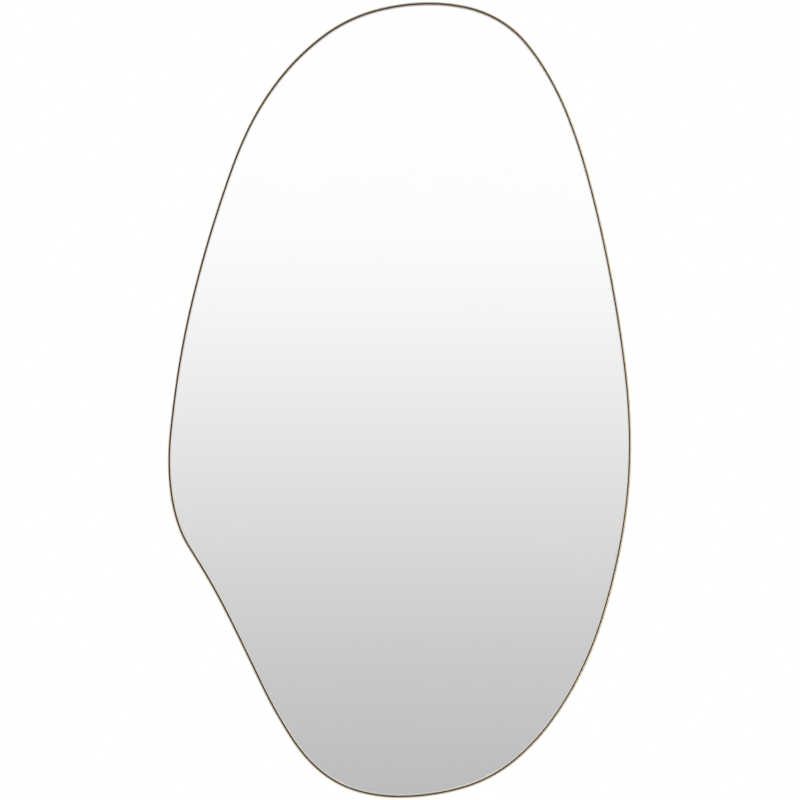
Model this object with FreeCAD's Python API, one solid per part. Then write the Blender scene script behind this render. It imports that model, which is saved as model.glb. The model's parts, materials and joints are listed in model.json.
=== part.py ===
import FreeCAD, Part
import os
from math import acos, asin, atan2, cos, degrees, hypot, radians, sin, sqrt, tan

# Freeform wall mirror: a brass-plated strip bent on edge into a closed rim, a silvered pane
# bonded to a backing board, and four hanging rings, so that it hangs upright or on its side.
# Millimetres. The pane faces -Y, the wall is the plane Y = 0 and +Z is up.
# The origin is on the wall, midway between the two hooks that carry the upper rings.
# Left and right are those of someone who looks into the mirror.

Vector = FreeCAD.Vector
ACROSS = Vector(1, 0, 0)
TO_WALL = Vector(0, 1, 0)
UP = Vector(0, 0, 1)

# Overall size of the outline
MIRROR_WIDTH = 448.5
MIRROR_HEIGHT = 770.0

# The outline, anticlockwise from the widest point on the right. Each point gives its share of
# the width from the left, its share of the height from the bottom, and which way the outline
# heads there, in degrees, on the outline drawn in a unit square.
OUTLINE = (
    (1.0000, 0.4416, 90.0),  # right
    (0.9694, 0.6208, 106.4),
    (0.9046, 0.7910, 115.8),
    (0.8181, 0.9143, 135.9),
    (0.7188, 0.9779, 160.7),
    (0.5647, 1.0000, 180.0),  # top
    (0.3337, 0.9584, 203.7),
    (0.1674, 0.8364, 231.3),
    (0.1116, 0.7506, 240.2),
    (0.0112, 0.5000, 258.1),
    (0.0000, 0.4221, 270.0),  # left
    (0.0228, 0.3391, 302.0),
    (0.0653, 0.2944, 317.0),  # the waist begins
    (0.1427, 0.2116, 310.0),
    (0.2643, 0.0752, 318.1),
    (0.3304, 0.0312, 334.8),
    (0.4978, 0.0000, 360.0),  # bottom
    (0.7545, 0.0483, 26.4),
    (0.8880, 0.1507, 48.8),
    (0.9734, 0.3000, 69.9),
)

# Rim, as deep as the recess, the layers below and the setback together
RIM_THICKNESS = 1.0
RIM_EDGE_RADIUS = 0.3
WALL_STANDOFF = 2.0  # from the rim's rear edge to the wall

# Pane and the layers behind it, front to back
PANE_RECESS = 1.5  # from the rim's front edge to the pane's face
PANE_THICKNESS = 4.0
PANE_ARRIS_WIDTH = 0.6  # across the face
PANE_ARRIS_DEPTH = 0.35
PANE_REAR_ARRIS = 0.5
SILVER_THICKNESS = 0.1
FILM_THICKNESS = 0.3
TAPE_THICKNESS = 1.0
BOARD_THICKNESS = 9.0
BOARD_SETBACK = 4.1  # from the board's back to the rim's rear edge
EDGE_GAP = 1.3  # from the rim's inner wall to the edges of the pane and the board

# Foam gasket in that gap
GASKET_CLEARANCE = 0.05
GASKET_RECESS = 0.6  # from the pane's face

# Double-sided tape strips between the film and the board
TAPE_COUNT = 5
TAPE_WIDTH = 25.0
TAPE_SIDE = 84.0  # from the mirror's side to the middle of the outermost strip
TAPE_MARGIN = 28.0  # from the outline to a strip's ends

# Wood screws, all of one size apart from their length
SCREW_SHANK_RADIUS = 1.5
SCREW_POINT = 2.2
SCREW_HEAD_RADIUS = 2.9
SCREW_HEAD_HEIGHT = 2.0
SCREW_HEAD_RIM = 0.6
SCREW_COVER = 2.5  # board left beyond a screw's point
CROSS_SPAN = 3.2
CROSS_WIDTH = 0.75
CROSS_DEPTH = 1.1
PILOT_CLEARANCE = 0.05
PILOT_SPARE = 0.5
SHANK_CLEARANCE = 0.25  # round a shank, in the piece that the screw holds

# Angle tabs, welded to the rim and screwed to the board's back
TAB_POINTS = (0, 2, 5, 7, 9, 13, 16, 18)  # points of the outline, about evenly spread
TAB_LENGTH = 18.0
TAB_THICKNESS = 1.5
TAB_SETBACK = 0.6  # from the rim's rear edge
TAB_CORNER = 4.0
TAB_BEND = 0.8
TAB_HOLE_INSET = 9.0  # from the rim's inner wall
TAB_HOLE_EDGE = 6.0  # from the hole to the foot's free end
WELD_CLEARANCE = 0.05

# Rubber bumpers, each held by a sunk screw
BUMPER_NAMES = ("upper_left", "lower_left", "lower_right", "upper_right")
BUMPER_POINTS = (6, 14, 17, 3)  # points of the outline, in the order of the names
BUMPER_INSET = 28.0  # from the outline to the middle of the bumper
BUMPER_RADIUS = 8.0
BUMPER_EDGE_RADIUS = 1.0
BUMPER_SINK = 0.8  # from the wall to the top of the screw's head
BUMPER_BORE_CLEARANCE = 0.6  # round the screw's head

# Hangers: a folded strap and a D-shaped wire ring that swings in it
HOOK_DROP = 150.0  # from the mirror's top to the hooks, hung upright
UPPER_SPACING = 240.0
SIDE_HOOK_INSET = 110.0  # from the mirror's right side to the hooks, hung on its side
SIDE_SPACING = 320.0
SIDEWAYS = 90.0  # degrees, from a hanger that hangs the mirror upright
STRAP_GAUGE = 0.8
STRAP_WIDTH = 14.0
STRAP_NECK = 5.0
STRAP_CORNER = 5.0
STRAP_HOLE_PITCH = 10.0
STRAP_TAIL = 6.0  # from the last hole to the strap's end
RING_WIRE = 2.5
RING_CORNER = 3.0
RING_STRAIGHT = 1.0
RING_PLAY = 1.25  # from the strap's side to where the wire bends
RING_CLEARANCE = 0.1  # round the wire, in the strap's loop
RING_REST_CLEARANCE = 0.3  # from the hanging ring to the strap under it
RING_HEAD_CLEARANCE = 1.6  # from the hanging ring to the screw below it

# Depths along Y, from the wall to the front
rim_back = -WALL_STANDOFF
board_back = rim_back - BOARD_SETBACK
tape_back = board_back - BOARD_THICKNESS
film_back = tape_back - TAPE_THICKNESS
silver_back = film_back - FILM_THICKNESS
pane_back = silver_back - SILVER_THICKNESS
pane_front = pane_back - PANE_THICKNESS
rim_front = pane_front - PANE_RECESS

# Sizes that follow from the ones above
pane_inset = RIM_THICKNESS + EDGE_GAP
tape_pitch = (MIRROR_WIDTH - 2 * TAPE_SIDE) / (TAPE_COUNT - 1)
screw_bite = BOARD_THICKNESS - SCREW_COVER
tab_reach = TAB_HOLE_INSET + TAB_HOLE_EDGE
bumper_height = BOARD_SETBACK + WALL_STANDOFF
bumper_grip = bumper_height - SCREW_HEAD_HEIGHT - BUMPER_SINK
strap_thickness = 2 * STRAP_GAUGE
loop_bore = RING_WIRE / 2 + RING_CLEARANCE
loop_radius = loop_bore + STRAP_GAUGE
ring_bar = STRAP_WIDTH / 2 + RING_PLAY
ring_half_width = ring_bar + RING_CORNER
ring_side = RING_CORNER + RING_STRAIGHT
ring_reach = ring_side + ring_half_width
hook_reach = ring_reach - RING_WIRE / 2
ring_lift = strap_thickness + RING_REST_CLEARANCE + RING_WIRE / 2 - loop_radius
ring_rest_tilt = degrees(asin(ring_lift / ring_reach))
first_strap_hole = ring_reach + RING_WIRE / 2 + RING_HEAD_CLEARANCE + SCREW_HEAD_RADIUS
strap_holes = (first_strap_hole, first_strap_hole + STRAP_HOLE_PITCH)
strap_length = strap_holes[-1] + STRAP_TAIL

# Closer than this, two places count as one
SAME_PLACE = 1e-3


# Outline


def left_of(direction):
    return Vector(-direction.z, 0, direction.x)


def unit(vector):
    return vector * (1 / vector.Length)


def outline_point(point):
    across, up, heading = point
    angle = radians(heading)
    place = Vector(across * MIRROR_WIDTH, 0, up * MIRROR_HEIGHT)
    direction = unit(Vector(cos(angle) * MIRROR_WIDTH, 0, sin(angle) * MIRROR_HEIGHT))
    return place, direction


def arc_from(start, heading, end):
    # The arc that leaves start along heading and ends at end, as its first, middle and last
    # point, each with the normal that points into the mirror, and its heading at the end.
    chord = end - start
    along = unit(chord)
    turn = atan2(left_of(heading).dot(along), heading.dot(along))
    middle = (start + end) * 0.5 - left_of(along) * (chord.Length / 2 * tan(turn / 2))
    last_heading = along * (2 * heading.dot(along)) - heading
    points = ((start, left_of(heading)), (middle, left_of(along)), (end, left_of(last_heading)))
    return points, last_heading


def arcs_between(start, heading, end, end_heading):
    # Two arcs, tangent to each other where they meet and to the headings at both ends.
    span = end - start
    headings = heading + end_heading
    bend = 2 * (1 - heading.dot(end_heading))
    along = span.dot(headings)
    reach = (sqrt(along**2 + bend * span.dot(span)) - along) / bend
    meeting = (start + heading * reach + end - end_heading * reach) * 0.5
    first, meeting_heading = arc_from(start, heading, meeting)
    second, _ = arc_from(meeting, meeting_heading, end)
    return [first, second]


def outline_arcs(points):
    arcs = []
    for number, (start, heading) in enumerate(points):
        end, end_heading = points[(number + 1) % len(points)]
        arcs += arcs_between(start, heading, end, end_heading)
    return arcs


def flat_face(arcs, inset, depth):
    edges = []
    for arc in arcs:
        moved = [place + normal * inset + TO_WALL * depth for place, normal in arc]
        edges.append(Part.Arc(*moved).toShape())
    return Part.Face(Part.Wire(edges))


def plate(inset, front, back):
    return flat_face(outline, inset, front).extrude(TO_WALL * (back - front))


def ring_plate(outer_inset, inner_inset, front, back):
    room = back - front
    return plate(outer_inset, front, back).cut(plate(inner_inset, front - room, back + room))


def edges_at(shape, depth):
    found = []
    for edge in shape.Edges:
        if all(abs(vertex.Y - depth) < SAME_PLACE for vertex in edge.Vertexes):
            found.append(edge)
    return found


def inside_point(number, inset):
    # A place that lies inset from the outline at one of its points, and the normal there.
    place, heading = knots[number]
    return place + left_of(heading) * inset, left_of(heading)


drawn = [outline_point(point) for point in OUTLINE]
middle = flat_face(outline_arcs(drawn), 0, 0).CenterOfMass
origin = Vector(middle.x, 0, MIRROR_HEIGHT - HOOK_DROP)
knots = [(place - origin, heading) for place, heading in drawn]
outline = outline_arcs(knots)
balance_height = middle.z - origin.z
right_side = MIRROR_WIDTH - origin.x


# Rim, pane and board


def make_rim():
    band = ring_plate(0, RIM_THICKNESS, rim_front, rim_back)
    return band.makeFillet(RIM_EDGE_RADIUS, edges_at(band, rim_front) + edges_at(band, rim_back))


def make_gasket():
    outer = RIM_THICKNESS + GASKET_CLEARANCE
    inner = pane_inset - GASKET_CLEARANCE
    return ring_plate(outer, inner, pane_front + GASKET_RECESS, board_back)


def make_pane():
    pane = plate(pane_inset, pane_front, pane_back)
    pane = pane.makeChamfer(PANE_ARRIS_DEPTH, PANE_ARRIS_WIDTH, edges_at(pane, pane_front))
    return pane.makeChamfer(PANE_REAR_ARRIS, edges_at(pane, pane_back))


def make_silver():
    return plate(pane_inset + PANE_REAR_ARRIS, pane_back, silver_back)


def make_film():
    return plate(pane_inset + PANE_REAR_ARRIS, silver_back, film_back)


def make_tape(number):
    strip_middle = right_side - MIRROR_WIDTH + TAPE_SIDE + number * tape_pitch
    corner = Vector(strip_middle - TAPE_WIDTH / 2, film_back, -MIRROR_HEIGHT)
    strip = Part.makeBox(TAPE_WIDTH, TAPE_THICKNESS, 2 * MIRROR_HEIGHT, corner)
    return strip.common(plate(TAPE_MARGIN, film_back, tape_back))


def make_board(screw_places):
    board = plate(pane_inset, tape_back, board_back)
    radius = SCREW_SHANK_RADIUS + PILOT_CLEARANCE
    depth = screw_bite + PILOT_SPARE
    pilots = []
    for place in screw_places:
        pilots.append(Part.makeCylinder(radius, depth, place, TO_WALL * -1))
    return board.cut(pilots)


# Screws


def make_screw(grip):
    # Pan head on the plane Y = 0, with a shank that holds a piece of thickness grip.
    length = grip + screw_bite
    dome = SCREW_HEAD_HEIGHT - SCREW_HEAD_RIM
    dome_radius = (SCREW_HEAD_RADIUS**2 + dome**2) / (2 * dome)
    half = SCREW_HEAD_RADIUS / 2
    shoulder = SCREW_HEAD_HEIGHT - dome_radius + sqrt(dome_radius**2 - half**2)
    point = Vector(0, -length, 0)
    top = Vector(0, SCREW_HEAD_HEIGHT, 0)
    head_rim = Vector(SCREW_HEAD_RADIUS, SCREW_HEAD_RIM, 0)
    corners = [
        top,
        point,
        Vector(SCREW_SHANK_RADIUS, SCREW_POINT - length, 0),
        Vector(SCREW_SHANK_RADIUS, 0, 0),
        Vector(SCREW_HEAD_RADIUS, 0, 0),
        head_rim,
    ]
    edges = [Part.LineSegment(a, b).toShape() for a, b in zip(corners, corners[1:])]
    edges.append(Part.Arc(head_rim, Vector(half, shoulder, 0), top).toShape())
    body = Part.Face(Part.Wire(edges)).revolve(Vector(), TO_WALL, 360)
    floor = SCREW_HEAD_HEIGHT - CROSS_DEPTH
    for span_x, span_z in ((CROSS_SPAN, CROSS_WIDTH), (CROSS_WIDTH, CROSS_SPAN)):
        corner = Vector(-span_x / 2, floor, -span_z / 2)
        body = body.cut(Part.makeBox(span_x, SCREW_HEAD_HEIGHT, span_z, corner))
    return body


def screws_at(places, grip):
    # Screws through a piece of thickness grip that lies on the board at each place.
    screw = make_screw(grip)
    return [screw.translated(place + TO_WALL * grip) for place in places]


# Tabs


def tab_screw_place(number):
    place, _ = inside_point(number, RIM_THICKNESS + TAB_HOLE_INSET)
    return place + TO_WALL * board_back


def make_tab(number):
    # An angle with its foot on the board and its other leg against the rim's inner wall.
    wall, inward = inside_point(number, RIM_THICKNESS)
    along = left_of(inward)
    leg_top = rim_back - TAB_SETBACK
    foot_top = board_back + TAB_THICKNESS
    # The block starts in the rim, and is cut back to the rim's curve below.
    profile = (
        (-RIM_THICKNESS, board_back),
        (tab_reach, board_back),
        (tab_reach, foot_top),
        (TAB_THICKNESS, foot_top),
        (TAB_THICKNESS, leg_top),
        (-RIM_THICKNESS, leg_top),
    )
    side = wall - along * (TAB_LENGTH / 2)
    corners = [side + inward * reach + TO_WALL * depth for reach, depth in profile]
    block = Part.Face(Part.makePolygon(corners + corners[:1])).extrude(along * TAB_LENGTH)
    free_corner = side + inward * tab_reach
    free_corners = [free_corner, free_corner + along * TAB_LENGTH]
    block = block.makeFillet(TAB_CORNER, upright_edges(block, free_corners))
    bend = side + along * (TAB_LENGTH / 2) + inward * TAB_THICKNESS + TO_WALL * foot_top
    block = block.makeFillet(TAB_BEND, [edge_through(block, bend)])
    hole = Part.makeCylinder(
        SCREW_SHANK_RADIUS + SHANK_CLEARANCE, TAB_THICKNESS, tab_screw_place(number), TO_WALL
    )
    return block.common(plate(RIM_THICKNESS + WELD_CLEARANCE, board_back, leg_top)).cut(hole)


def upright_edges(shape, places):
    # Edges along Y that pass over the given places.
    found = []
    for edge in shape.Edges:
        first = edge.Vertexes[0].Point
        last = edge.Vertexes[-1].Point
        upright = hypot(last.x - first.x, last.z - first.z) < SAME_PLACE
        over = any(hypot(first.x - place.x, first.z - place.z) < SAME_PLACE for place in places)
        if upright and over:
            found.append(edge)
    return found


def edge_through(shape, place):
    point = Part.Vertex(place)
    return min(shape.Edges, key=lambda edge: edge.distToShape(point)[0])


# Bumpers


def bumper_place(number):
    place, _ = inside_point(number, BUMPER_INSET)
    return place + TO_WALL * board_back


def make_bumper(number):
    foot = bumper_place(number)
    body = Part.makeCylinder(BUMPER_RADIUS, bumper_height, foot, TO_WALL)
    body = body.makeFillet(BUMPER_EDGE_RADIUS, edges_at(body, 0))
    head_room = SCREW_HEAD_RADIUS + BUMPER_BORE_CLEARANCE
    sink = Part.makeCylinder(head_room, bumper_height, foot + TO_WALL * bumper_grip, TO_WALL)
    bore = Part.makeCylinder(SCREW_SHANK_RADIUS + SHANK_CLEARANCE, bumper_height, foot, TO_WALL)
    return body.cut(sink).cut(bore)


# Hangers


def hanger_places():
    # Where each ring's axis crosses the middle of its strap, on the board's back, and how far
    # the hanger is turned about Y from one that hangs the mirror upright.
    side_axis = right_side - SIDE_HOOK_INSET - hook_reach
    places = {
        "upper_left": (Vector(-UPPER_SPACING / 2, board_back, -hook_reach), 0),
        "upper_right": (Vector(UPPER_SPACING / 2, board_back, -hook_reach), 0),
        "side_upper": (Vector(side_axis, board_back, balance_height + SIDE_SPACING / 2), SIDEWAYS),
        "side_lower": (Vector(side_axis, board_back, balance_height - SIDE_SPACING / 2), SIDEWAYS),
    }
    return places


def hanger_placement(name):
    place, turn = hanger_places()[name]
    return FreeCAD.Placement(place, FreeCAD.Rotation(TO_WALL, turn))


def strap_screw_places(name):
    placement = hanger_placement(name)
    return [placement.multVec(UP * -hole) for hole in strap_holes]


def make_strap(name):
    # Side view of the folded strap: two flat layers, which part round the ring's wire.
    axis = Vector(0, loop_radius, 0)
    shoulder = Vector(0, strap_thickness, -STRAP_NECK)
    to_shoulder = shoulder - axis
    lean = atan2(to_shoulder.y, to_shoulder.z) - acos(loop_radius / to_shoulder.Length)
    top = axis + Vector(0, sin(lean), cos(lean)) * loop_radius
    tail = Vector(0, 0, -strap_length)
    tail_top = tail + TO_WALL * strap_thickness
    curves = [
        Part.LineSegment(tail, Vector()),
        Part.Arc(Vector(), axis + UP * loop_radius, top),
        Part.LineSegment(top, shoulder),
        Part.LineSegment(shoulder, tail_top),
        Part.LineSegment(tail_top, tail),
    ]
    side = Part.Face(Part.Wire([curve.toShape() for curve in curves]))
    half = ACROSS * (STRAP_WIDTH / 2)
    strap = side.translated(half * -1).extrude(half * 2)
    strap = strap.makeFillet(STRAP_CORNER, upright_edges(strap, [tail - half, tail + half]))
    cuts = [Part.makeCylinder(loop_bore, STRAP_WIDTH, axis - half, ACROSS)]
    for hole in strap_holes:
        radius = SCREW_SHANK_RADIUS + SHANK_CLEARANCE
        cuts.append(Part.makeCylinder(radius, strap_thickness, UP * -hole, TO_WALL))
    return strap.cut(cuts).transformed(hanger_placement(name).Matrix, True)


def make_ring(name):
    # A D of round wire that hangs from its straight bar, tilted clear of the strap.
    half = ring_half_width
    round_off = RING_CORNER * (1 - sqrt(0.5))
    left = [Vector(-ring_bar, 0, 0), Vector(-half, 0, -RING_CORNER), Vector(-half, 0, -ring_side)]
    right = [Vector(ring_bar, 0, 0), Vector(half, 0, -RING_CORNER), Vector(half, 0, -ring_side)]
    left_corner = Vector(round_off - half, 0, -round_off)
    right_corner = Vector(half - round_off, 0, -round_off)
    path = [
        Part.LineSegment(left[0], right[0]),
        Part.Arc(right[0], right_corner, right[1]),
        Part.LineSegment(right[1], right[2]),
        Part.Arc(right[2], UP * -ring_reach, left[2]),
        Part.LineSegment(left[2], left[1]),
        Part.Arc(left[1], left_corner, left[0]),
    ]
    spine = Part.Wire([curve.toShape() for curve in path])
    section = Part.Wire(Part.makeCircle(RING_WIRE / 2, left[0], ACROSS))
    ring = spine.makePipeShell([section], True, False)
    hang = FreeCAD.Placement(TO_WALL * loop_radius, FreeCAD.Rotation(ACROSS, ring_rest_tilt))
    return ring.transformed((hanger_placement(name) * hang).Matrix, True)


# Assembly


def make_nodes():
    tab_screws = [tab_screw_place(number) for number in TAB_POINTS]
    strap_screws = []
    for name in hanger_places():
        strap_screws += strap_screw_places(name)
    bumper_screws = [bumper_place(number) for number in BUMPER_POINTS]
    nodes = {
        "rim_band": make_rim(),
        "edge_gasket": make_gasket(),
        "mirror_pane": make_pane(),
        "silver_coat": make_silver(),
        "safety_film": make_film(),
        "backing_board": make_board(tab_screws + strap_screws + bumper_screws),
        "tab_screws": Part.makeCompound(screws_at(tab_screws, TAB_THICKNESS)),
        "hanger_screws": Part.makeCompound(screws_at(strap_screws, strap_thickness)),
        "bumper_screws": Part.makeCompound(screws_at(bumper_screws, bumper_grip)),
    }
    for number in range(TAPE_COUNT):
        nodes[f"tape_strip_{number + 1}"] = make_tape(number)
    for count, number in enumerate(TAB_POINTS):
        nodes[f"rim_tab_{count + 1}"] = make_tab(number)
    for name, number in zip(BUMPER_NAMES, BUMPER_POINTS):
        nodes[f"bumper_{name}"] = make_bumper(number)
    for name in hanger_places():
        nodes[f"hanger_strap_{name}"] = make_strap(name)
        nodes[f"hanger_ring_{name}"] = make_ring(name)
    return nodes


os.makedirs("parts", exist_ok=True)
for node, shape in make_nodes().items():
    shape.exportStep(f"parts/{node}.step")
    print(node, len(shape.Solids), "solids", round(shape.Volume, 1), "mm3", shape.isValid())
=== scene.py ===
import json
import math

import bpy
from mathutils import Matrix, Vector

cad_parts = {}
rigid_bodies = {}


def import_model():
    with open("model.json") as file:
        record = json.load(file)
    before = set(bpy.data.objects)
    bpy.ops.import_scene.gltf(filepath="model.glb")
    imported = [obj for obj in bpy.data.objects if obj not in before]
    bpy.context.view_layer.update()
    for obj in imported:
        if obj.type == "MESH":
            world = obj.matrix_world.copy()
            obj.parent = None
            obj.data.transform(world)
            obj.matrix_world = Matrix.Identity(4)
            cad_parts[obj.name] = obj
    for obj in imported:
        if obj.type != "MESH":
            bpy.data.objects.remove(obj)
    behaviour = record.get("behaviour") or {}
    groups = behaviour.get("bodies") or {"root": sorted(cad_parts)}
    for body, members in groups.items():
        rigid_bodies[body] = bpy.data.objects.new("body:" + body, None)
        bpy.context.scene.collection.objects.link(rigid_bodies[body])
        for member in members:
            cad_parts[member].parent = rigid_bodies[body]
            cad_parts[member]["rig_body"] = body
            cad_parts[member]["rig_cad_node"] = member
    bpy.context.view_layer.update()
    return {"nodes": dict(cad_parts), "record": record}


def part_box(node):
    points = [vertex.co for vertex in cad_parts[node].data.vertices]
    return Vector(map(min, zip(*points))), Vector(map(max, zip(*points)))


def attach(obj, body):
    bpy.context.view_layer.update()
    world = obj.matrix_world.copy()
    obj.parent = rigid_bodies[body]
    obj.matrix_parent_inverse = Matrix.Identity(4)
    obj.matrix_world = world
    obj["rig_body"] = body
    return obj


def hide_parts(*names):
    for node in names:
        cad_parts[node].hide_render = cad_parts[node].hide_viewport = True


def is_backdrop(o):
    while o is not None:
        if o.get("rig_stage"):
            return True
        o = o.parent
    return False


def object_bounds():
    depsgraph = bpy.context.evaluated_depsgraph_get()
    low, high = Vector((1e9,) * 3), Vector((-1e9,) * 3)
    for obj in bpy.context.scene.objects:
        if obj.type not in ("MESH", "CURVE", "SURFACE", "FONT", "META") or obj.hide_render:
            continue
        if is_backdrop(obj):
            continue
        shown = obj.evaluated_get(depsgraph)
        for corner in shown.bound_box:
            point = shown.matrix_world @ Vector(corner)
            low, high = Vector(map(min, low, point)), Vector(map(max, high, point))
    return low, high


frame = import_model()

nodes = frame["nodes"]
mm = 0.001
print("frame loaded:", len(nodes), "nodes")


# A wire is one output of a node tree, and sums on wires add Math nodes

class Wire:
    def __init__(self, tree, socket=None):
        self.tree = tree
        self.socket = socket

    def node(self, kind, settings=None, sockets=None, out=0):
        made = self.tree.nodes.new(kind)
        for name, value in (settings or {}).items():
            if name == "stops":
                fillRamp(made.color_ramp, value)
            else:
                setattr(made, name, value)
        for name, value in (sockets or {}).items():
            if isinstance(value, Wire):
                self.tree.links.new(value.socket, made.inputs[name])
            else:
                made.inputs[name].default_value = value
        return Wire(self.tree, made.outputs[out] if len(made.outputs) else None)

    def maths(self, operation, first, second):
        return self.node("ShaderNodeMath", {"operation": operation}, {0: first, 1: second})

    def __add__(self, other):
        return self.maths("ADD", self, other)

    def __radd__(self, other):
        return self.maths("ADD", other, self)

    def __sub__(self, other):
        return self.maths("SUBTRACT", self, other)

    def __rsub__(self, other):
        return self.maths("SUBTRACT", other, self)

    def __mul__(self, other):
        return self.maths("MULTIPLY", self, other)

    def __rmul__(self, other):
        return self.maths("MULTIPLY", other, self)

    def __gt__(self, other):
        return self.maths("GREATER_THAN", self, other)


def fillRamp(ramp, stops):
    while len(ramp.elements) < len(stops):
        ramp.elements.new(0.5)
    for element, (place, colour) in zip(ramp.elements, stops):
        element.position = place
        element.color = colour


def newFinish(name):
    material = bpy.data.materials.new(name)
    material.use_nodes = True
    material.node_tree.nodes.clear()
    return material, Wire(material.node_tree)


def objectPlace(start, stretch=(1, 1, 1)):
    place = start.node("ShaderNodeTexCoord", out="Object")
    return start.node("ShaderNodeMapping", None, {"Vector": place, "Scale": stretch})


def depthOf(start):
    # from the front towards the wall
    place = start.node("ShaderNodeTexCoord", out="Object")
    return start.node("ShaderNodeSeparateXYZ", None, {"Vector": place}, "Y")


def cloud(start, pattern, stretch=(1, 1, 1)):
    size, detail, roughness = pattern
    return start.node("ShaderNodeTexNoise", None, {
        "Vector": objectPlace(start, stretch), "Scale": 1 / size, "Detail": detail, "Roughness": roughness})


def ease(value, low, high):
    return value.node("ShaderNodeMapRange", {"interpolation_type": "SMOOTHSTEP"}, {
        "Value": value, "From Min": low, "From Max": high})


def tint(mask, first, second):
    # sockets 6 and 7 and output 2 are the Mix node's colours
    return mask.node("ShaderNodeMix", {"data_type": "RGBA"}, {0: mask, 6: first, 7: second}, 2)


def grey(level):
    return (level, level, level, 1)


def bump(height, strength, distance):
    return height.node("ShaderNodeBump", None, {
        "Height": height, "Strength": strength, "Distance": distance}, "Normal")


shaderSockets = {
    "colour": "Base Color",
    "roughness": "Roughness",
    "metallic": "Metallic",
    "normal": "Normal",
    "transmission": "Transmission Weight",
    "ior": "IOR",
}


def surface(start, **looks):
    sockets = {shaderSockets[name]: value for name, value in looks.items()}
    return start.node("ShaderNodeBsdfPrincipled", None, sockets)


def blend(mask, first, second):
    return mask.node("ShaderNodeMixShader", None, {0: mask, 1: first, 2: second})


def close(shader):
    shader.node("ShaderNodeOutputMaterial", None, {"Surface": shader})


# In the finishes a pattern is its size, detail and roughness, an edge is where a mask starts and ends,
# and a bump is its strength and height

# Rim: brass plate, brushed along the strip, rubbed lighter on both edges

rimBrass = {
    "plate": (0.57, 0.458, 0.275, 1),
    "patina": (0.49, 0.388, 0.225, 1),
    "rubbed": (0.63, 0.565, 0.445, 1),
    "streaks": (1.0, 5.0, 0.62),
    "streakStretch": (18, 3200, 18),  # makes the streaks a third of a millimetre wide
    "streakBump": (0.25, 0.03 * mm),
    "stains": (38 * mm, 5.0, 0.6),
    "stainEdge": (0.48, 0.72),
    "stainShade": 0.55,
    "rubWidth": 0.8 * mm,
    "rubEven": 0.55,
    "rubStreaky": 0.45,
    "roughness": 0.27,
    "streakRoughness": 0.16,
    "stainRoughness": 0.08,
}


def finishBrass():
    look = rimBrass
    material, start = newFinish("rimBrass")
    streaks = cloud(start, look["streaks"], look["streakStretch"])
    stains = ease(cloud(start, look["stains"]), *look["stainEdge"])
    low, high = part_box("rim_band")
    depth = depthOf(start)
    front = 1 - ease(depth, low.y, low.y + look["rubWidth"])
    rear = ease(depth, high.y - look["rubWidth"], high.y)
    rubbed = (front + rear) * (look["rubEven"] + look["rubStreaky"] * streaks)
    colour = tint(stains * look["stainShade"], look["plate"], look["patina"])
    colour = tint(rubbed, colour, look["rubbed"])
    roughness = look["roughness"] + streaks * look["streakRoughness"] + stains * look["stainRoughness"]
    normal = bump(streaks, *look["streakBump"])
    close(surface(start, colour=colour, roughness=roughness, metallic=1.0, normal=normal))
    return material


# Tabs: the same plate on pressed steel, satin all over, with a heat tint up the welded leg

tabBrass = {
    "plate": (0.55, 0.44, 0.262, 1),
    "worn": (0.44, 0.345, 0.20, 1),
    "heated": (0.30, 0.185, 0.115, 1),
    "satin": (0.5 * mm, 5.0, 0.7),
    "satinBump": (0.2, 0.03 * mm),
    "satinShade": 0.3,
    "wear": (7 * mm, 4.0, 0.6),
    "wearEdge": (0.42, 0.68),
    "wearShade": 0.35,
    "legFrom": 1.2 * mm,  # from the board to where the heat tint starts
    "heatEven": 0.35,
    "heatWorn": 0.65,
    "roughness": 0.32,
    "satinRoughness": 0.2,
}


def finishTab():
    look = tabBrass
    material, start = newFinish("tabBrass")
    satin = cloud(start, look["satin"])
    wear = ease(cloud(start, look["wear"]), *look["wearEdge"])
    low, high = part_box("rim_tab_1")
    leg = ease(depthOf(start), low.y + look["legFrom"], high.y)
    heat = leg * (look["heatEven"] + look["heatWorn"] * wear)
    colour = tint(look["wearShade"] * wear + look["satinShade"] * satin, look["plate"], look["worn"])
    colour = tint(heat, colour, look["heated"])
    roughness = look["roughness"] + look["satinRoughness"] * satin
    normal = bump(satin, *look["satinBump"])
    close(surface(start, colour=colour, roughness=roughness, metallic=1.0, normal=normal))
    return material


# Pane: clear float glass, its front arris polished and its edge ground

paneGlass = {
    "body": (0.998, 0.998, 0.998, 1),
    "ior": 1.52,
    "ground": (0.80, 0.80, 0.78, 1),
    "groundDark": (0.68, 0.68, 0.66, 1),
    "grind": (0.35 * mm, 3.0, 0.55),
    "grindBump": (0.3, 0.05 * mm),
    "groundRoughness": 0.42,
    "grindRoughness": 0.2,
    "polished": 0.4 * mm,  # from the face, past the arris, to where the ground edge starts
    "backDepth": 0.03 * mm,  # the pane's back, clear again for the silver to show
}


def finishGlass():
    look = paneGlass
    material, start = newFinish("paneGlass")
    clear = surface(start, colour=look["body"], roughness=0.0, transmission=1.0, ior=look["ior"])
    grain = cloud(start, look["grind"])
    colour = tint(grain, look["groundDark"], look["ground"])
    roughness = look["groundRoughness"] + look["grindRoughness"] * grain
    normal = bump(grain, *look["grindBump"])
    ground = surface(start, colour=colour, roughness=roughness, normal=normal)
    low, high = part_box("mirror_pane")
    edge = depthOf(start) > low.y + look["polished"]
    back = depthOf(start) > high.y - look["backDepth"]
    close(blend(edge - back, clear, ground))
    return material


# Silver: the bright coat on the back of the pane

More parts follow.
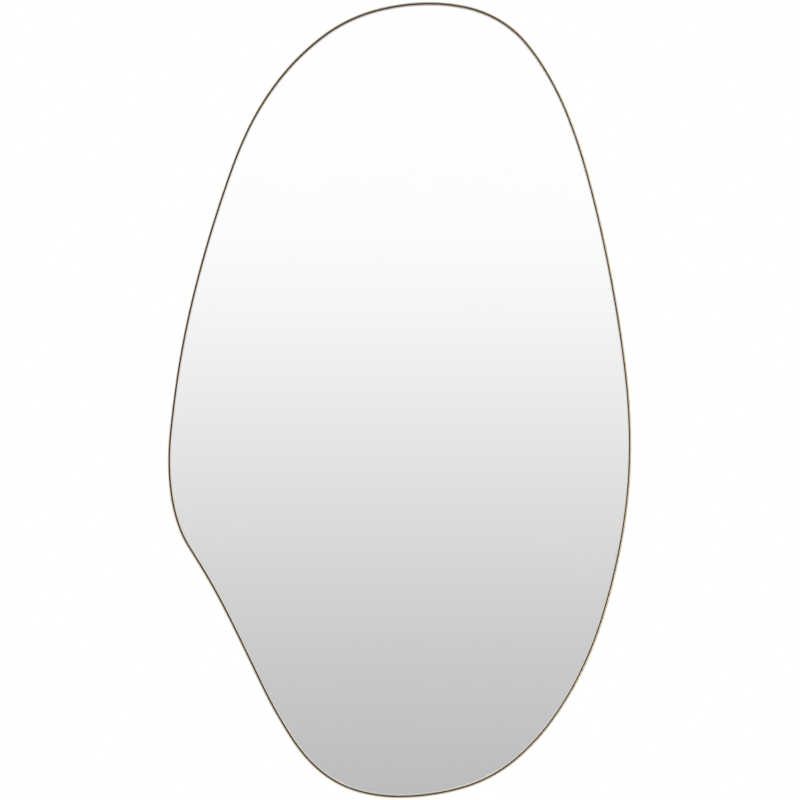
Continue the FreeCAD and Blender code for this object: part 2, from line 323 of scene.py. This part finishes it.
silverCoat = {
    "bright": (0.959, 0.957, 0.958, 1),
    "dull": (0.951, 0.949, 0.950, 1),
    "haze": (60 * mm, 2.0, 0.55),
    "roughness": 0.002,
    "hazeRoughness": 0.004,
    "overlap": 0.03 * mm,  # how far the coat reaches into the glass
    "faceDepth": 0.01 * mm,  # a corner as near as this to the coat's front is on its face
}


def finishSilver():
    look = silverCoat
    material, start = newFinish("silverCoat")
    haze = cloud(start, look["haze"])
    colour = tint(haze, look["bright"], look["dull"])
    roughness = look["roughness"] + look["hazeRoughness"] * haze
    close(surface(start, colour=colour, roughness=roughness, metallic=1.0))
    return material


# Film, tape, foam and rubber, all with a fine grain in wider clouds

softFinishes = {
    "safetyFilm": {
        "light": (0.70, 0.72, 0.74, 1),
        "dark": (0.60, 0.62, 0.64, 1),
        "grain": 3 * mm,
        "height": 0.02 * mm,
        "roughness": 0.35,
    },
    "tapeFoam": {
        "light": (0.84, 0.83, 0.79, 1),
        "dark": (0.74, 0.73, 0.68, 1),
        "grain": 0.8 * mm,
        "height": 0.05 * mm,
        "roughness": 0.7,
    },
    # the gasket is black foam with a painted reflection: its brown tint and lift stand in for the warm
    # light the brass rim's inner wall throws into the gap
    "gasketFoamAndPaintedReflection": {
        "light": (0.125, 0.080, 0.036, 1),
        "dark": (0.070, 0.044, 0.019, 1),
        "grain": 0.25 * mm,
        "height": 0.08 * mm,
        "roughness": 0.85,
    },
    "bumperRubber": {
        "light": (0.050, 0.050, 0.051, 1),
        "dark": (0.024, 0.024, 0.025, 1),
        "grain": 0.4 * mm,
        "height": 0.02 * mm,
        "roughness": 0.62,
    },
}

softGrain = {
    "fine": (4.0, 0.6),  # detail and roughness
    "fineShare": 0.6,
    "wide": (3.0, 0.55),
    "wideShare": 0.4,
    "wideTimes": 14,  # how many times the size of the grain
    "wideRoughness": 0.12,
    "edge": (0.3, 0.7),
    "bump": 0.5,
}


def finishSoft(name):
    look = softFinishes[name]
    material, start = newFinish(name)
    fine = cloud(start, (look["grain"], *softGrain["fine"]))
    wide = cloud(start, (look["grain"] * softGrain["wideTimes"], *softGrain["wide"]))
    mask = ease(softGrain["fineShare"] * fine + softGrain["wideShare"] * wide, *softGrain["edge"])
    colour = tint(mask, look["dark"], look["light"])
    roughness = look["roughness"] + softGrain["wideRoughness"] * wide
    normal = bump(fine, softGrain["bump"], look["height"])
    close(surface(start, colour=colour, roughness=roughness, normal=normal))
    return material


# Board: fibre board under charcoal paint, with a rolled texture and dusty scuffs

boardPaint = {
    "paint": (0.060, 0.060, 0.063, 1),
    "thin": (0.085, 0.082, 0.078, 1),
    "dust": (0.15, 0.145, 0.14, 1),
    "fibre": (0.8 * mm, 5.0, 0.65),
    "fibreEdge": (0.45, 0.7),
    "fibreThins": 0.5,
    "fibreHeight": 0.35,
    "roller": (3.2 * mm, 3.0, 0.5),
    "rollerHeight": 0.65,
    "rolledBump": (0.7, 0.3 * mm),
    "patches": (120 * mm, 4.0, 0.55),
    "patchEdge": (0.4, 0.7),
    "patchThins": 0.5,
    "scuffs": (1.0, 6.0, 0.7),
    "scuffStretch": (30, 30, 170),
    "scuffEdge": (0.62, 0.80),
    "scuffDust": 0.45,
    "roughness": 0.50,
    "rollerRoughness": 0.25,
    "scuffRoughness": 0.1,
}


def finishBoard():
    look = boardPaint
    material, start = newFinish("boardPaint")
    fibre = cloud(start, look["fibre"])
    roller = cloud(start, look["roller"])
    patches = ease(cloud(start, look["patches"]), *look["patchEdge"])
    scuffs = ease(cloud(start, look["scuffs"], look["scuffStretch"]), *look["scuffEdge"])
    thin = look["patchThins"] * patches + look["fibreThins"] * ease(fibre, *look["fibreEdge"])
    colour = tint(thin, look["paint"], look["thin"])
    colour = tint(scuffs * look["scuffDust"], colour, look["dust"])
    roughness = look["roughness"] + look["rollerRoughness"] * roller + look["scuffRoughness"] * scuffs
    height = look["fibreHeight"] * fibre + look["rollerHeight"] * roller
    normal = bump(height, *look["rolledBump"])
    close(surface(start, colour=colour, roughness=roughness, normal=normal))
    return material


# Steel: zinc plate, on the straps and rings and on the screws

steelFinishes = {
    "hangerZinc": {
        "light": (0.66, 0.67, 0.69, 1),
        "dark": (0.50, 0.51, 0.53, 1),
        "grain": 1.6 * mm,
        "roughness": 0.30,
    },
    "screwZinc": {
        "light": (0.64, 0.63, 0.61, 1),
        "dark": (0.46, 0.455, 0.44, 1),
        "grain": 0.8 * mm,
        "roughness": 0.27,
    },
}

zincGrain = {
    "crystals": (2.0, 0.5),  # detail and roughness
    "crystalShare": 0.7,
    "scratches": (1.0, 4.0, 0.6),
    "scratchStretch": (2400, 2400, 160),
    "scratchShare": 0.3,
    "scratchRoughness": 0.14,
    "scratchBump": (0.12, 0.02 * mm),
    "edge": (0.35, 0.65),
}


def finishSteel(name):
    look = steelFinishes[name]
    material, start = newFinish(name)
    crystals = cloud(start, (look["grain"], *zincGrain["crystals"]))
    scratches = cloud(start, zincGrain["scratches"], zincGrain["scratchStretch"])
    grain = zincGrain["crystalShare"] * crystals + zincGrain["scratchShare"] * scratches
    colour = tint(ease(grain, *zincGrain["edge"]), look["dark"], look["light"])
    roughness = look["roughness"] + zincGrain["scratchRoughness"] * scratches
    normal = bump(scratches, *zincGrain["scratchBump"])
    close(surface(start, colour=colour, roughness=roughness, metallic=1.0, normal=normal))
    return material


# Welds: brazed lumps, heat-tinted

weldMetal = {
    "bright": (0.58, 0.50, 0.36, 1),
    "burnt": (0.20, 0.15, 0.11, 1),
    "scale": (0.7 * mm, 4.0, 0.6),
    "scaleEdge": (0.35, 0.65),
    "scaleBump": (0.3, 0.08 * mm),
    "roughness": 0.36,
    "scaleRoughness": 0.3,
}


def finishWeld():
    look = weldMetal
    material, start = newFinish("weldMetal")
    scale = cloud(start, look["scale"])
    colour = tint(ease(scale, *look["scaleEdge"]), look["burnt"], look["bright"])
    roughness = look["roughness"] + look["scaleRoughness"] * scale
    normal = bump(scale, *look["scaleBump"])
    close(surface(start, colour=colour, roughness=roughness, metallic=1.0, normal=normal))
    return material


# One finish for each slot of the record, but the tabs have their own

finishes = {
    "rim_brass": finishBrass(),
    "pane_glass": finishGlass(),
    "silver": finishSilver(),
    "film": finishSoft("safetyFilm"),
    "tape": finishSoft("tapeFoam"),
    "gasket_foam": finishSoft("gasketFoamAndPaintedReflection"),
    "bumper_rubber": finishSoft("bumperRubber"),
    "board_paint": finishBoard(),
    "hanger_steel": finishSteel("hangerZinc"),
    "screw_steel": finishSteel("screwZinc"),
}
tabFinish = finishTab()
tabs = [name for name in nodes if name.startswith("rim_tab_")]
for subpart in frame["record"]["subparts"]:
    name = subpart["node"]
    finish = tabFinish if name in tabs else finishes[subpart["material_slot"]]
    for place in nodes[name].material_slots:
        place.material = finish
print("finishes given to", len(nodes), "nodes")


# Small helpers for modelling by hand

mergeDistance = 0.001 * mm


def onlySelect(piece):
    bpy.ops.object.select_all(action="DESELECT")
    piece.select_set(True)
    bpy.context.view_layer.objects.active = piece


def dress(piece, name, finish):
    piece.name = name
    piece.data.name = name
    piece.data.materials.clear()
    piece.data.materials.append(finish)
    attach(piece, "mirror_body")


def copyNode(name):
    # the node's own shape, as one merged skin with neither its marks nor its stored normals
    onlySelect(nodes[name])
    bpy.ops.object.duplicate()
    twin = bpy.context.view_layer.objects.active
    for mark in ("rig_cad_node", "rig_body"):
        del twin[mark]
    twin.parent = None
    bpy.ops.object.mode_set(mode="EDIT")
    bpy.ops.mesh.select_all(action="SELECT")
    bpy.ops.mesh.remove_doubles(threshold=mergeDistance)
    bpy.ops.mesh.customdata_custom_splitnormals_clear()
    bpy.ops.mesh.select_all(action="DESELECT")
    bpy.ops.object.mode_set(mode="OBJECT")
    return twin


def applyModifier(piece, kind, **settings):
    onlySelect(piece)
    modifier = piece.modifiers.new(kind.lower(), kind)
    for name, value in settings.items():
        setattr(modifier, name, value)
    bpy.ops.object.modifier_apply(modifier=modifier.name)


# Rim strip: the band, rounded between its facets, with its broad walls kept flat across

def makeRimStrip():
    strip = copyNode("rim_band")
    bpy.ops.object.mode_set(mode="EDIT")
    bpy.ops.mesh.select_all(action="SELECT")
    bpy.ops.mesh.tris_convert_to_quads()
    bpy.ops.object.mode_set(mode="OBJECT")
    bpy.ops.object.shade_smooth()
    applyModifier(strip, "SUBSURF", levels=1, render_levels=1, use_limit_surface=False)
    applyModifier(strip, "WEIGHTED_NORMAL", mode="FACE_AREA", weight=50)
    dress(strip, "rim_strip", finishes["rim_brass"])
    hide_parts("rim_band")


makeRimStrip()
print("rim bent")


# Glass, gasket and silver: rounded between their facets too, with their edges kept sharp

sharpTurn = math.radians(20)  # an edge that turns more than this stays sharp


def roundFacets(piece):
    onlySelect(piece)
    bpy.ops.object.mode_set(mode="EDIT")
    bpy.ops.mesh.select_all(action="SELECT")
    bpy.ops.mesh.tris_convert_to_quads()
    bpy.ops.mesh.select_mode(type="EDGE")
    bpy.ops.mesh.select_all(action="DESELECT")
    bpy.ops.mesh.edges_select_sharp(sharpness=sharpTurn)
    bpy.ops.transform.edge_crease(value=1)
    bpy.ops.mesh.select_mode(type="VERT")
    bpy.ops.object.mode_set(mode="OBJECT")
    applyModifier(piece, "SUBSURF", levels=1, render_levels=1, use_limit_surface=False)
    bpy.ops.object.shade_smooth_by_angle(angle=sharpTurn)


def makeRounded(node, name, slotName):
    piece = copyNode(node)
    roundFacets(piece)
    dress(piece, name, finishes[slotName])
    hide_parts(node)


makeRounded("mirror_pane", "glass_sheet", "pane_glass")
makeRounded("edge_gasket", "gasket_strip", "gasket_foam")
print("glass and gasket cut")


# Silver layer: the coat's own shape, with its face just inside the glass so that the two meet

def makeSilverLayer():
    layer = copyNode("silver_coat")
    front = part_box("silver_coat")[0].y
    for corner in layer.data.vertices:
        corner.select = corner.co.y < front + silverCoat["faceDepth"]
    bpy.ops.object.mode_set(mode="EDIT")
    bpy.ops.transform.translate(value=(0, -silverCoat["overlap"], 0))
    bpy.ops.object.mode_set(mode="OBJECT")
    roundFacets(layer)
    dress(layer, "silver_layer", finishes["silver"])
    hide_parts("silver_coat")


makeSilverLayer()
print("silver laid")


# Welds: one rippled tack, modelled once, at both ends of each tab's leg

tack = {
    "footRadius": 0.44 * mm,
    "firstSwell": 1.55,
    "swell": 1.16,
    "ripples": 6,
    "sides": 14,
    "clearance": 0.25 * mm,  # from the leg's top
    "topDepth": 0.05 * mm,  # a corner as near as this to the leg's top is at its end
    "alongShare": 5,  # an end of the leg counts this much more than its outer face
}


def makeTack(length):
    bpy.ops.object.select_all(action="DESELECT")
    bpy.ops.mesh.primitive_circle_add(
        vertices=tack["sides"], radius=tack["footRadius"], fill_type="NGON", rotation=(math.pi / 2, 0, 0))
    bead = bpy.context.object
    bpy.ops.object.transform_apply(location=False, rotation=True, scale=False)
    bpy.ops.object.mode_set(mode="EDIT")
    bpy.ops.mesh.select_all(action="SELECT")
    step = length / (2 * tack["ripples"])
    for ripple in range(tack["ripples"]):
        swell = tack["firstSwell"] if ripple == 0 else tack["swell"]
        for growth in (swell, 1 / tack["swell"]):
            bpy.ops.mesh.extrude_region_move(TRANSFORM_OT_translate={"value": (0, step, 0)})
            bpy.ops.transform.resize(value=(growth, 1, growth))
    bpy.ops.mesh.select_all(action="SELECT")
    bpy.ops.mesh.normals_make_consistent(inside=False)
    bpy.ops.object.mode_set(mode="OBJECT")
    applyModifier(bead, "SUBSURF", levels=1, render_levels=1)
    bpy.ops.object.shade_smooth()
    return bead


def legCorners(tab):
    # the two outer corners of the tab's leg, where it stands against the rim
    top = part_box(tab)[1].y
    places = [corner.co for corner in nodes[tab].data.vertices]
    leg = [place for place in places if place.y > top - tack["topDepth"]]
    outward = sum(leg, Vector()) / len(leg) - sum(places, Vector()) / len(places)
    outward.y = 0
    outward.normalize()
    along = tack["alongShare"] * Vector((-outward.z, 0, outward.x))
    return [max(leg, key=aim.dot) for aim in (outward - along, outward + along)]


def makeWelds():
    low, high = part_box(tabs[0])
    first = makeTack(high.y - low.y - tack["clearance"])
    corners = [corner for tab in tabs for corner in legCorners(tab)]
    beads = []
    for corner in corners:
        bead = first.copy()
        bead.data = first.data.copy()
        bpy.context.scene.collection.objects.link(bead)
        bead.location = (corner.x, low.y, corner.z)
        beads.append(bead)
    bpy.data.objects.remove(first)
    bpy.ops.object.select_all(action="DESELECT")
    for bead in beads:
        bead.select_set(True)
    bpy.context.view_layer.objects.active = beads[0]
    bpy.ops.object.join()
    bpy.ops.object.transform_apply(location=True, rotation=True, scale=True)
    dress(beads[0], "tab_welds", finishWeld())


makeWelds()
print("welds laid")


# Small helpers for the stage

def objectCentre():
    low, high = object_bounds()
    return (low + high) / 2


def cameraRay(start):
    return start.node("ShaderNodeLightPath", out="Is Camera Ray")


def glassOrMetalRay(start):
    glossy = start.node("ShaderNodeLightPath", out="Is Glossy Ray")
    through = start.node("ShaderNodeLightPath", out="Is Transmission Ray")
    return start.maths("MAXIMUM", glossy, through)


# Stage: a pale floor below the hanging mirror, which fades out at its rim

stageFloor = {
    "drop": 350 * mm,  # from the mirror's lowest point
    "radius": 2.2,
    "sides": 96,
    "pale": (0.88, 0.88, 0.87, 1),
    "paler": (0.91, 0.91, 0.90, 1),
    "grain": (4 * mm, 3.0, 0.55),
    "roughness": 0.75,
    "grainRoughness": 0.1,
    "fade": (0.9, 2.0),  # from the middle of the floor
}


def makeFloor():
    look = stageFloor
    centre = objectCentre()
    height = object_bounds()[0].z - look["drop"]
    bpy.ops.object.select_all(action="DESELECT")
    bpy.ops.mesh.primitive_circle_add(
        vertices=look["sides"], radius=look["radius"], fill_type="NGON",
        location=(centre.x, centre.y, height))
    floor = bpy.context.object
    floor.name = "floor"
    material, start = newFinish("floorPaint")
    reach = start.node("ShaderNodeVectorMath", {"operation": "LENGTH"}, {0: objectPlace(start)}, "Value")
    fade = ease(reach, *look["fade"])
    grain = cloud(start, look["grain"])
    colour = tint(grain, look["pale"], look["paler"])
    painted = surface(start, colour=colour, roughness=look["roughness"] + look["grainRoughness"] * grain)
    white = start.node("ShaderNodeEmission", None, {"Color": grey(1), "Strength": 1.0})
    above = blend(fade * cameraRay(start), painted, white)
    # unseen from below, and in glass and metal, which show the room instead
    under = start.node("ShaderNodeNewGeometry", out="Backfacing")
    hidden = start.maths("MAXIMUM", under, glassOrMetalRay(start))
    close(blend(hidden, above, start.node("ShaderNodeBsdfTransparent")))
    floor.data.materials.append(material)
    floor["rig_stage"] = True


makeFloor()


# Lamps: soft boxes on all sides, none of them where the straight front view sees its reflection

softBoxes = {
    "keyBox": {"place": (-2.3, -1.8, 0.5), "size": (2.2, 2.4), "power": 48},
    "fillBox": {"place": (2.2, -1.7, 0.5), "size": (1.6, 2.2), "power": 2},
    "rearKeyBox": {"place": (1.8, 2.1, 1.2), "size": (3.4, 3.4), "power": 26},
    "rearFillBox": {"place": (-2.2, 1.8, 0.3), "size": (2.6, 2.4), "power": 14},
}


def makeLamps():
    centre = objectCentre()
    for name, lamp in softBoxes.items():
        data = bpy.data.lights.new(name, "AREA")
        data.shape = "RECTANGLE"
        data.size, data.size_y = lamp["size"]
        data.energy = lamp["power"]
        box = bpy.data.objects.new(name, data)
        bpy.context.scene.collection.objects.link(box)
        box.location = lamp["place"]
        box.rotation_euler = (centre - box.location).to_track_quat("-Z", "Y").to_euler()


makeLamps()


# World: white to the camera; glass and metal see a room that darkens a little below eye level

room = {
    "ambient": 0.50,
    # from the floor up: rise of a sight line, and brightness there
    "shades": ((-0.5, 0.82), (-0.28, 0.74), (-0.17, 0.55), (-0.125, 0.53), (-0.08, 0.624), (-0.02, 0.803),
               (0.03, 0.964), (0.056, 1.026), (0.09, 1.046)),
    # each wall: the sideways or upward part of a sight line where it starts and ends, and its depth
    "leftWall": (-0.085, -0.15, 0.40),
    "rightWall": (0.085, 0.17, 0.32),
    "ceiling": (0.13, 0.18, 0.34),
    "horizon": (-0.03, 0.03),  # where the two walls start, from the floor up
    "wallColour": (0.22, 0.13, 0.03, 1),
    "clearing": (0.30, 0.42),  # past the walls and ceiling the room is clear, and darkens lower down
    "clearingDrop": 0.2,
}


def wallDepth(sight, wall):
    begin, end, depth = wall
    return ease(sight, begin, end) * depth


def makeWorld():
    world = bpy.data.worlds.new("room")
    bpy.context.scene.world = world
    world.use_nodes = True
    world.node_tree.nodes.clear()
    start = Wire(world.node_tree)
    sight = start.node("ShaderNodeTexCoord", out="Generated")
    across = start.node("ShaderNodeSeparateXYZ", None, {"Vector": sight}, "X")
    rise = start.node("ShaderNodeSeparateXYZ", None, {"Vector": sight}, "Z")
    aside = start.node("ShaderNodeMath", {"operation": "ABSOLUTE"}, {0: across})
    clearing = ease(aside, *room["clearing"])
    overhead = ease(rise, *room["clearing"])
    bottom = room["shades"][0][0]
    top = room["shades"][-1][0]
    share = start.node("ShaderNodeMapRange", None, {
        "Value": rise + clearing * room["clearingDrop"], "From Min": bottom, "From Max": top})
    stops = [((height - bottom) / (top - bottom), grey(level)) for height, level in room["shades"]]
    around = start.node("ShaderNodeValToRGB", {"stops": stops}, {"Fac": share}, "Color")
    walls = wallDepth(across, room["leftWall"]) + wallDepth(across, room["rightWall"])
    walls = walls * ease(rise, *room["horizon"])
    walls = start.maths("MAXIMUM", walls, wallDepth(rise, room["ceiling"]))
    around = tint(walls * (1 - clearing) * (1 - overhead), around, room["wallColour"])
    shade = tint(glassOrMetalRay(start), grey(room["ambient"]), around)
    shade = tint(cameraRay(start), shade, grey(1))
    back = start.node("ShaderNodeBackground", None, {"Color": shade, "Strength": 1.0})
    start.node("ShaderNodeOutputWorld", None, {"Surface": back})


makeWorld()
print("stage set")


# Camera: straight at the front, with the mirror just filling the height of the frame

shot = {
    "distance": 3.0,  # from the rim's front edge
    "framed": 773.4 * mm,  # height of the frame at that edge
    "aside": 0.53 * mm,  # to the right of the mirror's middle
    "sensor": 36.0,
}


def makeCamera():
    low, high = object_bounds()
    data = bpy.data.cameras.new("shot")
    data.sensor_width = shot["sensor"]
    data.lens = shot["sensor"] * shot["distance"] / shot["framed"]
    camera = bpy.data.objects.new("shot", data)
    bpy.context.scene.collection.objects.link(camera)
    camera.location = ((low.x + high.x) / 2 + shot["aside"], low.y - shot["distance"], (low.z + high.z) / 2)
    camera.rotation_euler = (math.pi / 2, 0, 0)
    bpy.context.scene.camera = camera


makeCamera()
bpy.context.scene.view_settings.view_transform = "Standard"
